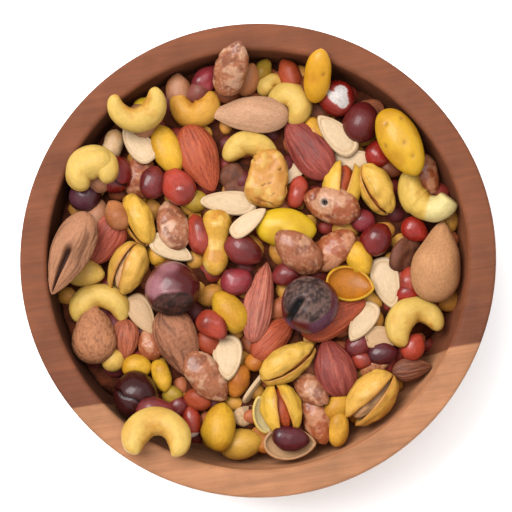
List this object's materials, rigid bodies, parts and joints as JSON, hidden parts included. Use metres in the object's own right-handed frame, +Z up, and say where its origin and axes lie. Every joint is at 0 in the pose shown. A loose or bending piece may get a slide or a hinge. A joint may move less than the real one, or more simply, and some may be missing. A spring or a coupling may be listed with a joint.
{
  "type": "bowl of trail mix",
  "caption": "Round turned wooden bowl with a flat rim, heaped with trail mix of whole nuts, nuts in their shells, coated nuts and seeds",
  "frame": {"origin": "centre of the bowl's flat foot, on the surface that it stands on", "axes": "+Z up along the bowl's axis; +Y towards the top of the picture, +X towards its right"},
  "size_m": [0.17, 0.17, 0.0724],
  "materials": {
    "bowl_wood": "satin",
    "nut_mix": "satin"
  },
  "bodies": {
    "root": {"bowl": "bowl_wood", "trail_mix": "nut_mix"}
  },
  "joints": []
}
